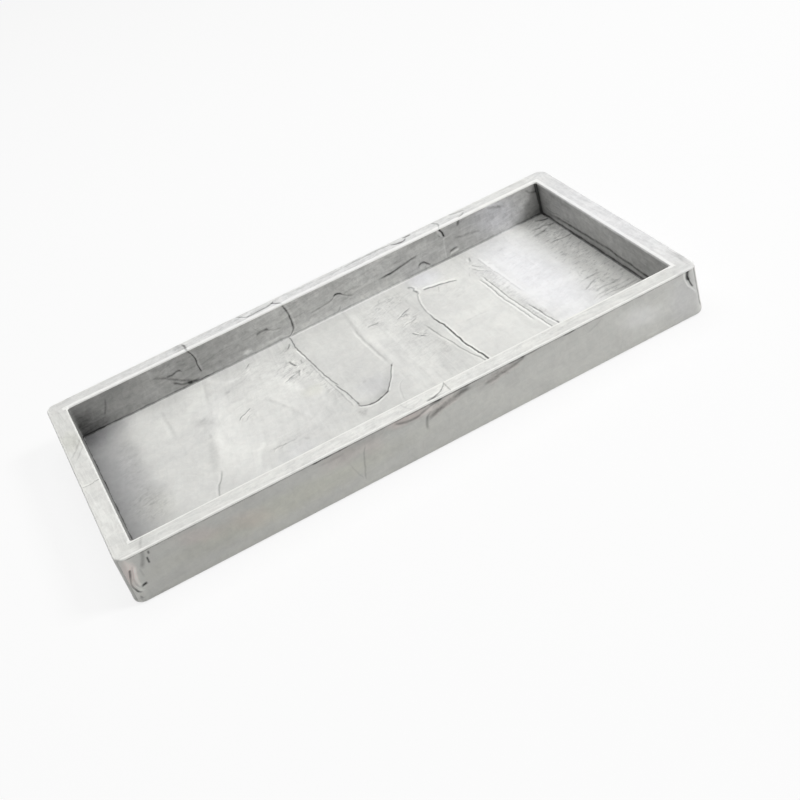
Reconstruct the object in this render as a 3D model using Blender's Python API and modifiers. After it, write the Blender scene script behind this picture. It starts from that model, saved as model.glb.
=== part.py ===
"""A long shallow storage tray moulded in one piece of marbled silicone, on four small non-slip pads.

Metres, +Z up. The origin is on the surface that the tray stands on, under the middle of the tray.
The long side runs along X, and the side that faces a user is at -Y.
"""

import math

import bmesh
import bpy
from mathutils import Matrix, Vector

# Overall size of the tray on its pads
length = 0.200
width = 0.100
height = 0.018

# The moulded tray
rim_width = 0.0066
cavity_depth = 0.0132
wall_lean = 0.00035  # how far each inner wall comes in between the rim and the floor
corner_radius = 0.0034
cavity_corner_radius = 0.0009
rim_edge_radius = 0.0006
base_edge_radius = 0.0010

# The non-slip pads, each in a shallow round seat in the underside
pad_diameter = 0.012
pad_thickness = 0.0019
pad_proud = 0.0003  # how far a pad stands out below the tray
pad_edge_radius = 0.0003
pad_inset = 0.016  # from the tray's outer faces to a pad's middle
adhesive_gap = 0.0003  # between a pad and the top of its seat
seat_clearance = 0.0003  # between a pad's side and its seat

# How finely round shapes are divided
corner_segments = 8
cavity_corner_segments = 4
edge_segments = 3
round_segments = 48
sharp_angle = math.radians(60)
smooth_angle = math.radians(35)
cut_margin = 0.002  # how far a cutter reaches out past the face that it opens

tray_bottom = pad_proud
tray_floor = height - cavity_depth
seat_top = pad_thickness + adhesive_gap


def clear_scene():
    for item in list(bpy.data.objects):
        bpy.data.objects.remove(item, do_unlink=True)


def new_collection(name):
    collection = bpy.data.collections.new(name)
    bpy.context.scene.collection.children.link(collection)
    return collection


def new_material(name, colour, roughness):
    material = bpy.data.materials.new(name)
    material.use_nodes = True
    shader = material.node_tree.nodes["Principled BSDF"]
    shader.inputs["Base Color"].default_value = (*colour, 1.0)
    shader.inputs["Roughness"].default_value = roughness
    shader.inputs["Metallic"].default_value = 0.0
    return material


def object_from(bm, name, collection, location=(0, 0, 0)):
    bmesh.ops.recalc_face_normals(bm, faces=bm.faces)
    mesh = bpy.data.meshes.new(name)
    bm.to_mesh(mesh)
    bm.free()
    made = bpy.data.objects.new(name, mesh)
    made.location = location
    collection.objects.link(made)
    return made


def smooth(made, angle=smooth_angle):
    made.data.shade_smooth()
    made.data.set_sharp_from_angle(angle=angle)


def edges_where(bm, test):
    """The edges of which both ends pass the test."""
    return [edge for edge in bm.edges if all(test(vert.co) for vert in edge.verts)]


def upright_edges(bm):
    return [edge for edge in bm.edges if abs(edge.verts[0].co.z - edge.verts[1].co.z) > cut_margin / 2]


def round_edges(bm, edges, radius, segments):
    bmesh.ops.bevel(bm, geom=edges, offset=radius, offset_type="OFFSET", segments=segments,
                    profile=0.5, affect="EDGES", clamp_overlap=True)


def block(size_x, size_y, bottom, top):
    """A box round the Z axis, between two heights."""
    bm = bmesh.new()
    place = Matrix.Translation((0, 0, (bottom + top) / 2)) @ Matrix.Diagonal((size_x, size_y, top - bottom, 1))
    bmesh.ops.create_cube(bm, size=1.0, matrix=place)
    return bm


def tray_body(collection):
    """The outer form: a box with rounded corners and a softer edge underneath."""
    bm = block(length, width, tray_bottom, height)
    round_edges(bm, upright_edges(bm), corner_radius, corner_segments)
    bottom_edges = edges_where(bm, lambda point: abs(point.z - tray_bottom) < rim_edge_radius / 2)
    round_edges(bm, bottom_edges, base_edge_radius, edge_segments)
    return object_from(bm, "tray", collection)


def cavity_cutter(collection):
    """The space inside the tray, which narrows from the rim down to the floor."""
    open_length = length - 2 * rim_width
    open_width = width - 2 * rim_width
    lean_above = wall_lean * cut_margin / cavity_depth
    bm = block(open_length + 2 * lean_above, open_width + 2 * lean_above, tray_floor, height + cut_margin)
    for vert in bm.verts:
        if vert.co.z < height:
            inward = wall_lean + lean_above
            vert.co.x -= math.copysign(inward, vert.co.x)
            vert.co.y -= math.copysign(inward, vert.co.y)
    round_edges(bm, upright_edges(bm), cavity_corner_radius, cavity_corner_segments)
    return object_from(bm, "cavity_cutter", collection)


def disc(diameter, bottom, top):
    bm = bmesh.new()
    bmesh.ops.create_cone(bm, cap_ends=True, cap_tris=False, segments=round_segments,
                          radius1=diameter / 2, radius2=diameter / 2, depth=top - bottom,
                          matrix=Matrix.Translation((0, 0, (bottom + top) / 2)))
    return bm


def seat_cutter(place, side_name, collection):
    bm = disc(pad_diameter + 2 * seat_clearance, -cut_margin, seat_top)
    return object_from(bm, "seat_cutter_" + side_name, collection, place)


def pad(place, side_name, collection, material):
    """A round pad whose origin is the middle of its rest face."""
    bm = disc(pad_diameter, 0, pad_thickness)
    rest_edges = edges_where(bm, lambda point: abs(point.z) < pad_edge_radius / 2)
    round_edges(bm, rest_edges, pad_edge_radius, edge_segments)
    made = object_from(bm, "pad_" + side_name, collection, place)
    made.data.materials.append(material)
    smooth(made)
    return made


def cut(target, cutter, name):
    cutter.hide_render = True
    cutter.display_type = "WIRE"
    modifier = target.modifiers.new(name, "BOOLEAN")
    modifier.operation = "DIFFERENCE"
    modifier.solver = "EXACT"
    modifier.object = cutter


def soften_rim(target):
    """Rounds what is still sharp: both edges of the rim, and the joint of walls and floor."""
    modifier = target.modifiers.new("rim_edges", "BEVEL")
    modifier.limit_method = "ANGLE"
    modifier.angle_limit = sharp_angle
    modifier.width = rim_edge_radius
    modifier.segments = edge_segments
    modifier.use_clamp_overlap = True


def pad_places():
    """The middle of each pad's rest face, by the name of its corner."""
    reach_x = length / 2 - pad_inset
    reach_y = width / 2 - pad_inset
    return {
        "front_left": Vector((-reach_x, -reach_y, 0)),
        "front_right": Vector((reach_x, -reach_y, 0)),
        "back_left": Vector((-reach_x, reach_y, 0)),
        "back_right": Vector((reach_x, reach_y, 0)),
    }


def main():
    clear_scene()
    parts = new_collection("storage_tray")
    cutters = new_collection("cutters")
    marbled_silicone = new_material("marbled_silicone", (0.66, 0.66, 0.65), 0.32)
    pad_silicone = new_material("pad_silicone", (0.55, 0.56, 0.56), 0.55)

    tray = tray_body(parts)
    tray.data.materials.append(marbled_silicone)
    cut(tray, cavity_cutter(cutters), "cavity")
    soften_rim(tray)
    for side_name, place in pad_places().items():
        cut(tray, seat_cutter(place, side_name, cutters), "seat_" + side_name)
        pad(place, side_name, parts, pad_silicone)
    smooth(tray)


main()
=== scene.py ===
"""The looks of a marbled silicone storage tray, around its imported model.

The frame is in metres. The tray's sizes and the lines and patches of its marbling are written in
millimetres on the frame's own X, Y and Z, and MM turns millimetres into metres.
"""

import math
from collections import namedtuple

import bmesh
import bpy
import numpy as np
from mathutils import Matrix, Quaternion, Vector

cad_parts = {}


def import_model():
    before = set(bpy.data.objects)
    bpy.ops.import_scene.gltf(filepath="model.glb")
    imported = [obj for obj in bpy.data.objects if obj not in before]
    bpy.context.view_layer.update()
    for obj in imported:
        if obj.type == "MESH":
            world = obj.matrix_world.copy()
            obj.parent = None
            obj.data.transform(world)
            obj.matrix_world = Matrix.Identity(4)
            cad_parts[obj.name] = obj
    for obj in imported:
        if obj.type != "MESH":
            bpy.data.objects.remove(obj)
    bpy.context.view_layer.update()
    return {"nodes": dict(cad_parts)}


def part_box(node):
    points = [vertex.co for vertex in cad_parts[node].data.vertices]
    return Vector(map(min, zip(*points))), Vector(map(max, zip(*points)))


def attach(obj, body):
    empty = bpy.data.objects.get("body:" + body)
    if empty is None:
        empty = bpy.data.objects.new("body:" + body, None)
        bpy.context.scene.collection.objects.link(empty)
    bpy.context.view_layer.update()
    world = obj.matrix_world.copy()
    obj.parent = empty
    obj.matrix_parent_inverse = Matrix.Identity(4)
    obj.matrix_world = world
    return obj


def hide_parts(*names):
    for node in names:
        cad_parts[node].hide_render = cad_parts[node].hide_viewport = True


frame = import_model()

MM = 0.001
TRAY_LOW, TRAY_HIGH = (np.array(corner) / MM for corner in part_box("tray"))
HALF_X, HALF_Y, TOP = TRAY_HIGH
BOTTOM = TRAY_LOW[2]

# The tray's own sizes, as in its solid
RIM_WIDTH = 6.6
CAVITY_DEPTH = 13.2
WALL_LEAN = 0.35
CORNER_RADIUS = 3.4
CAVITY_CORNER_RADIUS = 0.9
RIM_EDGE_RADIUS = 0.6
FLOOR_JOINT_RADIUS = 0.4
BASE_EDGE_RADIUS = 1.0
SEAT_CLEARANCE = 0.3
SEAT_HEADROOM = 0.3
PADS = ("pad_front_left", "pad_front_right", "pad_back_left", "pad_back_right")

FLOOR = TOP - CAVITY_DEPTH
FLOOR_INSET = RIM_WIDTH + WALL_LEAN

# How finely the tray's mesh is divided, the least angle that shows as an edge, and how far upwards or
# downwards the normal of a flat face points
STEP = 0.6
SHORT_SIDE_STEP = 0.9
LONG_STEPS = round(2 * HALF_X / STEP)
SHORT_STEPS = round(2 * HALF_Y / SHORT_SIDE_STEP)
CORNER_STEPS = 8
FILLET_STEPS = 4
SEAT_STEPS = 64
SHARP_ANGLE = math.radians(35)
FLAT = 0.99

# The tray's sides, anticlockwise, with their steps along the mesh
SIDES = ("right", "back", "left", "front")
SIDE_STEPS = (SHORT_STEPS, LONG_STEPS, SHORT_STEPS, LONG_STEPS)

# The faces of the tray, each with a material of its own, and the axes of those that don't lie flat
FACES = [part + "_" + side for part in ("outside", "inside") for side in SIDES]
FACES += ["rim", "floor", "underside"]
FACE_AXES = {"right": "yz", "left": "yz", "back": "xz", "front": "xz"}

# The cast surface's relief: waves (direction, length), and grooves along the deeper lines
WAVE_DEPTH = 0.05
WAVES = (((0.9, 0.4, 0.2), 19.0), ((-0.3, 0.9, 0.4), 13.0), ((0.7, -0.6, 0.5), 29.0),
         ((0.2, 0.3, 0.9), 8.0))
GROOVE_WIDTH = 0.6

# The camera, at the photograph's viewing angle
CAMERA_PLACE = Vector((-85.96, -369.29, 247.19)) * MM
CAMERA_TARGET = Vector((-0.22, -29.18, 9.0)) * MM
CAMERA_ROLL = math.radians(-18.95)
CAMERA_LENS = 60.667

# The studio, in metres and watts. The lamps are square and face one point.
Lamp = namedtuple("Lamp", "name place side power")
LAMPS = (Lamp("key", (1.036, -0.544, 1.08), 0.42, 13.0), Lamp("overhead", (0.0, 0.15, 0.9), 0.9, 5.4))
LAMP_TARGET = Vector((0.0, 0.0, 0.01))
STUDIO_REACH = 3.0
# The floor's grey where it lights the tray, its grey where the camera sees it, and the share of white
# that is laid over the latter
FLOOR_GREY, PAPER_GREY, FLOOR_GLOW = 0.85, 0.95, 0.84
# How much light the world gives, which looks white
WORLD_LIGHT = 0.03

# The tray's refraction, the middle and spread of the roughness of tray and pads and of the pads' grey,
# and the share of red in that grey
SILICONE_IOR = 1.42
TRAY_GLOSS, TRAY_GLOSS_SPREAD = 0.36, 0.03
PAD_GLOSS, PAD_GLOSS_SPREAD = 0.55, 0.05
PAD_GREY, PAD_GREY_SPREAD, PAD_RED = 0.55, 0.03, 0.98

# The random patterns: how many patches there are in a millimetre along three directions, and the
# noise's detail, roughness and distortion
Pattern = namedtuple("Pattern", "x y z detail roughness distortion", defaults=(2.0, 0.5, 0.0))
SWAY = Pattern(1 / 3, 1 / 3, 1 / 3, 1.0)
BROAD_CLOUDS = Pattern(0.05, 0.05, 0.07, 4.0, 0.55, 0.8)
FINE_CLOUDS = Pattern(0.45, 0.35, 0.4, 4.0, 0.7, 0.6)
BUMPS = Pattern(0.25, 0.25, 0.25, 3.0)
GLOSS = Pattern(0.08, 0.08, 0.08, 3.0)
FOLDS = Pattern(0.36, 0.7, 0.8, 2.0, 0.6, 1.0)
GRAIN = Pattern(0.8, 0.6, 0.9, 3.0, 0.7, 0.5)
STREAKS_ALONG_Y = Pattern(0.55, 0.05, 0.0, 4.0, 0.65, 0.3)
STREAKS_ALONG_X = Pattern(0.35, 0.8, 0.0, 3.0, 0.6, 0.5)
SWIRL_RINGS = Pattern(0.3, 0.07, 0.07, 4.0, 0.6, 0.9)
WALL_STREAKS = Pattern(0.1, 0.1, 0.6, 4.0, 0.6, 1.0)
RIM_STREAKS = Pattern(0.8, 0.13, 0.0, 4.0, 0.6, 0.8)
PAD_CLOUDS = Pattern(0.5, 0.5, 0.5, 3.0)
PAD_GRAIN = Pattern(1.0, 1.0, 1.0)
PAD_BUMPS = Pattern(2.0, 2.0, 2.0)
# A noise's own values lie about 0.5, and this spreads them to about -1 to 1
NOISE_SPREAD = 5.0
BUMP_HEIGHT = 0.01

# Each kind of face: its plain colour, how yellow it looks, and how strongly broad clouds, fine clouds
# and streaks vary it
Kind = namedtuple("Kind", "base yellow broad fine streaks", defaults=(0.0,))
KINDS = {
    "floor": Kind(0.8, 0.035, 0.08, 0.06),
    "rim": Kind(0.8, 0.04, 0.07, 0.07, 0.1),
    # The inner walls' plain colour is darker than the floor's and the rim's, a painted shade of the cavity
    "inside": Kind(0.56, 0.02, 0.1, 0.16, 0.14),
    "outside": Kind(0.72, 0.05, 0.06, 0.06, 0.03),
    "underside": Kind(0.72, 0.05, 0.05, 0.04),
}

# The limits of the marbling: the darkest share of that colour, and the lightest colour
DARKEST, LIGHTEST = 0.05, 0.99

# How far the lines and the patches stray from their places, how strongly the lines come and go, how
# much yellow and pink vary, and how steeply the folds of a ruffled patch rise along X
LINE_SWAY, PATCH_SWAY = 0.12, 0.5
LINE_STRENGTH, LINE_STRENGTH_SPREAD = 1.5, 0.25
YELLOW_CLOUDS, PINK_CLOUDS = 0.006, 0.004
FOLD_SLANT = 0.25
# Where a patch starts and is full, as shares of its size, and the place and width of a line's border,
# as shares of the line's width
PATCH_EDGE = (1.2, 0.2)
BORDER_PLACE, BORDER_WIDTH = 1.5, 1.2
# The least difference of height in a curve
LEAST_SPAN = 0.001

# How strong the floor's streaks along Y are, by place along X, and how far they lean towards the end
# of a span. At the floor's right end streaks run along X instead, and rise a little.
STREAKS = {-94: 0.3, -76: 0.35, -60: 0.4, -46: 0.7, -30: 0.8, -16: 0.9, -11: 0.35, 5: 0.35, 9: 1,
           28: 1.1, 34: 0.4, 50: 0.4, 54: 1, 61: 1, 64: 0.45, 75: 0.4, 84: 0}
STREAK_LEAN, LEAN_SPAN = 0.26, (20.0, -60.0)
RIGHT_END, RIGHT_END_SLANT, RISE = (74.0, 84.0), 0.1, 0.2
# The swirl in the floor's left half: its middle, how much flatter it is along Y, and the distances
# between which its rings start and stop
SWIRL_X, SWIRL_Y, SWIRL_FLATTER = -36, 2, 1.3
SWIRL_START, SWIRL_STOP = (6.0, 16.0), (42.0, 24.0)

# How steeply the streaks on the walls rise along X
WALL_STREAK_SLANT = 0.08

# The bands along the rim's rounded edges are painted light. Each side has an inner band of its own
# width. The inner and outer bands are painted highlights where they are lighter than the rim and
# painted shade where they are darker, and the last line before the cavity is painted shade.
RimSide = namedtuple("RimSide", "inner_width inner outer last")
RIM_SIDES = {
    "back": RimSide(1.75, 0.36, 0.12, 0.0),
    "front": RimSide(1.25, 0.28, 0.26, -0.3),
    "left": RimSide(0.5, 0.45, 0.26, 0.0),
    "right": RimSide(1.75, 0.36, -0.16, -0.5),
}
# The insets between which the outer band of painted light and the last line of painted shade grow to
# their full strength
OUTER_EDGE_LIGHT = (0.85, 0.4)
LAST_SHADE_LINE = (RIM_WIDTH - 0.5, RIM_WIDTH - 0.3)
# The share of its width at which the inner band is full, and the share of the way to a side at which
# the side starts
INNER_BAND_FULL = 0.65
SIDE_START = 0.98

# The marbling of each face is drawn on the face's own directions, u and v. A line runs along
# one of them, and its course says how far aside it is at places along it. It is dark within its width,
# or pale where dark is negative, and lies in a crease so many millimetres deep. It may have a light
# border and a soft shade on one side (a negative light or reach is the side of the smaller values),
# and it fades out at its ends.
# A line's light border is partly the marble's paler edge and partly a painted highlight on the lit side of
# its fold.
Line = namedtuple("Line", "runs course dark width crease light shade reach fade",
                  defaults=(0.5, 0.0, 0.0, 0.0, 4.0, 2.0))
# A patch is a soft ellipse: its middle and half sizes, how much lighter it is than its face, its turn
# in degrees, how much yellower and pinker it is, and how strongly the surface is ruffled there.
Patch = namedtuple("Patch", "u v half_u half_v tone turn yellow pink ruffle", defaults=(0, 0, 0, 0, 0))
# A face's zones say how light it is at places along u. Besides the marble's own tone they hold painted
# light: painted shade on the inner walls, deepest in their corners, and painted light on the outer
# front wall's left corner.
LINES, PATCHES, TONE_AND_PAINTED_LIGHT_ZONES = {}, {}, {}

# The floor

LINES["floor"] = (
    # The left side of the tongue that one pour left on the floor
    Line("v", {43: -13.2, 38: -13.5, 34: -13.8, 30: -13.5, 22: -13, 14: -12.6, 6: -11.9, 1: -11.1}, 0.42,
         0.42, 0.01),
    Line("v", {32.5: -14.3, 29: -14.1, 25: -13.8}, -0.26, 0.42, fade=2),
    Line("v", {1.5: -11.8, -2: -11.3, -5: -10.7, -8: -10.3, -15: -10}, 0.42, 0.42, 0.02),
    Line("v", {20: -13.8, 6: -13.2, -4: -12.3, -9: -12, -14: -11.7}, 0.12, 0.42, light=0.06),
    # Its round end, and the slant up to its right side
    Line("u", {-10.3: -15.5, -9.5: -16.4, -8: -17.3, -6.3: -17.8, -4.5: -17.7, -3: -17.2, -1.5: -16.5,
         0.3: -15.7}, 0.5, 0.6, 0.1, light=-0.14, shade=-0.1, reach=5, fade=1),
    Line("v", {-15.7: 0.3, -13.7: 1.5, -12: 2.6, -9: 4.4, -5.4: 6.2, -2.6: 7.6}, 0.38, 0.42, 0.08,
         light=0.12, shade=-0.08, reach=-4, fade=1),
    Line("v", {-2: 7.6, 5: 7.3, 14: 6.9, 22: 6.7, 28: 7.1, 34: 7.6, 42: 8}, 0.07, 1.3, light=0.05, fade=8),
    Line("v", {2: 7.5, 7: 7.2, 14: 6.9, 22: 6.7, 28: 7.1}, 0.09, 0.6, light=-0.11, fade=8),
    # The long lap to the right of it, from its squiggle down to the front wall
    Line("v", {37.4: 33.2, 35.2: 34.1, 33.8: 33.6, 32: 34, 30.2: 33.3}, 0.28, 0.6, 0.08, light=0.12, fade=1),
    Line("v", {30.2: 33.3, 27.5: 32.4, 25.5: 31.8, 22: 31.2, 17: 30.7, 13: 30.7}, 0.2, 0.42, 0.02,
         light=0.13, fade=3),
    Line("v", {12: 30.8, 8: 31.2, 3.5: 31.7, -4: 31.8, -9.5: 31.8, -16: 32.5, -25: 33.4, -43: 34.4}, 0.8,
         0.45, 0.1, light=0.14, fade=8),
    Line("v", {2: 31, -8: 31.1, -17: 31.9, -25: 32.7}, -0.14, 0.42, fade=8),
    Line("v", {9: 26.9, 4: 27.3, 0: 27.8, -4: 28.5, -9: 29.2, -14: 29.8, -18: 30.6, -25: 32.2, -42: 33.8},
         0.28, 0.42, 0.05, light=-0.07, fade=4),
    # The pale edge along the back wall
    Line("u", {-12: 42.4, 36: 42.4}, -0.12, 0.9, fade=8),
    # The short arc beside the long lap's upper end
    Line("u", {36.5: 31.3, 38: 31.1, 40: 30.4, 42: 29.9, 44: 29.2, 46: 28.4, 47.9: 27.2}, 0.46, 0.8, 0.08,
         light=0.2, fade=1),
    Line("u", {38: 0.5, 42: 0.9, 46: 0.4}, 0.05, 1.0),
    Line("v", {28.8: 41.3, 27.2: 40.6, 25.6: 39.8}, 0.1, 0.42),
    # The ridges along the grey band
    Line("v", {20: 54.3, 12: 54.5, 5: 54.3, -3: 54.8, -8: 55, -16: 55.4}, 0.3, 0.4, 0.08, light=-0.24,
         fade=4),
    Line("v", {21: 55.9, 10: 56, 2: 56, -5: 56.4, -10: 56.7, -17: 57.1, -25: 57.5, -43: 58.5}, 0.32, 0.4,
         0.08, light=-0.24, fade=5),
    Line("v", {-8: 58.6, -13: 59.1, -18: 59.5, -22: 59.9, -26: 60.3, -43: 61.3}, 0.36, 0.4, 0.08,
         light=-0.24, fade=5),
    Line("v", {34: 60.2, 29: 60.3, 22: 60.6, 12: 60.9, 3: 61.2}, 0.1, 0.5, 0.02, light=0.12, fade=4),
    Line("v", {37.5: 58.4, 36: 58.1, 34.8: 57.8}, 0.28, 0.6, 0.05, light=-0.12),
    Line("v", {31.6: 56.8, 30.4: 57.2, 28.6: 58.4}, 0.24, 0.5, 0.05, light=-0.1),
    Line("v", {29: 55.8, 27.2: 56.6, 25.4: 57.9}, 0.22, 0.5, 0.05, light=0.12),
    Line("v", {27.4: 53.4, 26.4: 52.9, 25.2: 52.5}, 0.12, 0.4),
    # The dark ripples of the right end
    Line("u", {83.2: 30.6, 85: 30.8, 87: 31.3, 88.5: 32}, 0.28, 1.0, 0.05),
    Line("u", {84.3: 34.9, 86.5: 34.5, 88.5: 34.8, 90: 33.6, 91.5: 33.2, 93: 33.7}, 0.24, 0.8, 0.05),
    Line("u", {88.8: 40, 90: 39, 91.5: 38.2, 93: 37.8}, 0.3, 0.9, 0.05),
    Line("u", {84.7: 21.6, 86.5: 21.6, 88.5: 21.1, 90.5: 21, 92.8: 21.4}, 0.28, 0.7, 0.05),
    Line("u", {87.6: 12.9, 88.6: 14, 89.6: 13.8, 90.8: 13.2, 92.5: 14.4}, 0.16),
    Line("u", {76.8: -14.8, 78.8: -13.9, 80.2: -12.8, 82.5: -12}, 0.26, 0.7),
    Line("u", {79: -18.6, 82: -18, 85: -18.4, 89: -18}, 0.2, 0.9, fade=4),
    Line("u", {77.4: -21.4, 81: -20.8, 85: -21.2, 90: -20.8}, 0.14, 0.8, fade=4),
    Line("u", {76.6: -23.4, 80: -22.8, 86: -23.4, 92: -22.8}, 0.16, 0.7, fade=4),
    Line("u", {79.4: -9.4, 83: -9, 86.6: -9.8}, 0.1, 0.7, fade=3),
    Line("v", {-2.6: 81, -4.2: 80.4, -6: 79.8}, 0.1),
    # The vein of the left end
    Line("v", {-13.6: -58.9, -17: -60.2, -20: -61.8, -23: -63, -26: -63.6}, 0.24, 0.55, 0.05, light=-0.06,
         fade=3),
    # The pale ridges and thin arcs of the swirl in the middle of the left half
    Line("v", {41.5: -46, 38.6: -44.6, 35.6: -42.6, 33.8: -40.4}, -0.07, 2.2, fade=4),
    Line("u", {-41.4: 33.4, -39: 33, -36: 33.8}, -0.08, 1.8, fade=3),
    Line("v", {36.6: -31, 34.8: -32.6, 32.6: -34}, -0.07, 1.2),
    Line("v", {27: -28.4, 24: -27, 19.6: -25.4, 14: -23.8, 9: -22.4}, -0.06, 2.6, fade=6),
    Line("v", {12.6: -33.6, 8.6: -31.6, 3.6: -29.8, -2: -28, -7: -26.8}, 0.04, 1.2, light=0.03, fade=8),
    Line("v", {39: -48, 33: -49.2, 27: -50.4}, 0.05, 0.9, light=-0.04, fade=6),
    Line("v", {6: -57, -3: -58.2, -12: -60.4}, 0.05, 2.4, fade=8),
    Line("v", {9: -52.6, 0: -54.4, -9: -56.6}, -0.04, 2.2, fade=8),
    Line("v", {-10: -43, -14: -45.6, -22: -48.4}, -0.05, 2, fade=6),
    Line("v", {34: -65.4, 25: -65.6, 16: -66}, 0.04, 0.9, light=-0.03, fade=6),
    # Small wrinkles round it
    Line("u", {-44.9: 8.3, -43.6: 9.9, -42: 10.6, -41: 11.4, -39.6: 12.2}, 0.32, 0.5, 0.05, light=-0.08,
         fade=1),
    Line("u", {-43.2: 6.2, -42: 7.6, -40.8: 8.6}, 0.2),
    Line("v", {28: -19, 26: -18.7, 23.6: -18}, 0.46, 0.65, 0.06, light=0.1, fade=1),
    Line("v", {38.6: -14.8, 37.2: -15.4, 36: -16.4}, 0.28, 0.6, light=0.06, fade=1),
    Line("u", {-24.6: 17, -23.4: 17.4, -22.2: 18.2, -20.4: 18.6}, 0.3, 0.55, light=0.1, fade=1),
    Line("v", {20: -18, 18.4: -18.8, 16.6: -19.3}, 0.22, light=0.08, fade=1),
    Line("v", {25.8: -15.4, 23.6: -15.6}, 0.24, fade=1),
    Line("v", {22.6: -17.2, 21.6: -18}, -0.14, 0.9, fade=1),
    Line("u", {-32.6: 36.4, -31.4: 38, -30.6: 38.6}, 0.22, 0.65, fade=1),
    Line("u", {-41.5: -17, -39.4: -15.7, -37.2: -16, -34: -16.2}, 0.14, 0.55, light=-0.05),
    # Small wrinkles between the tongue and the long lap
    Line("u", {21: 21.3, 22.5: 21.9, 24: 22.9, 25.4: 23.6, 27: 24.4}, 0.26, 0.5, 0.05, light=0.1),
    Line("u", {22.6: 22.4, 23.6: 21.6, 24.6: 21.9, 25.6: 20.8}, 0.26, fade=1),
    Line("u", {20.9: 14.9, 22.6: 15.8, 25: 16, 26.3: 16.8}, 0.18, light=0.1),
    Line("v", {9: 21.2, 7.4: 21.7, 5.6: 22.7, 3.6: 24}, 0.36, 0.5, 0.05, light=0.12, fade=1),
    Line("v", {8: 22.6, 6.4: 23.2, 4.6: 24.4}, 0.16, light=-0.06, fade=1),
    Line("u", {11: 24.9, 12: 25.4, 13: 25.2, 14.4: 24.9, 15.2: 25.4}, 0.28, 0.7, fade=1),
    Line("u", {10.6: 26, 12: 26.4, 13.6: 26.2}, -0.1, fade=1),
    Line("v", {-13: 9, -14.8: 5.6, -17: 4.4, -20: 3.4, -24: 2.7}, 0.07, 0.42, light=-0.04),
)
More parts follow.
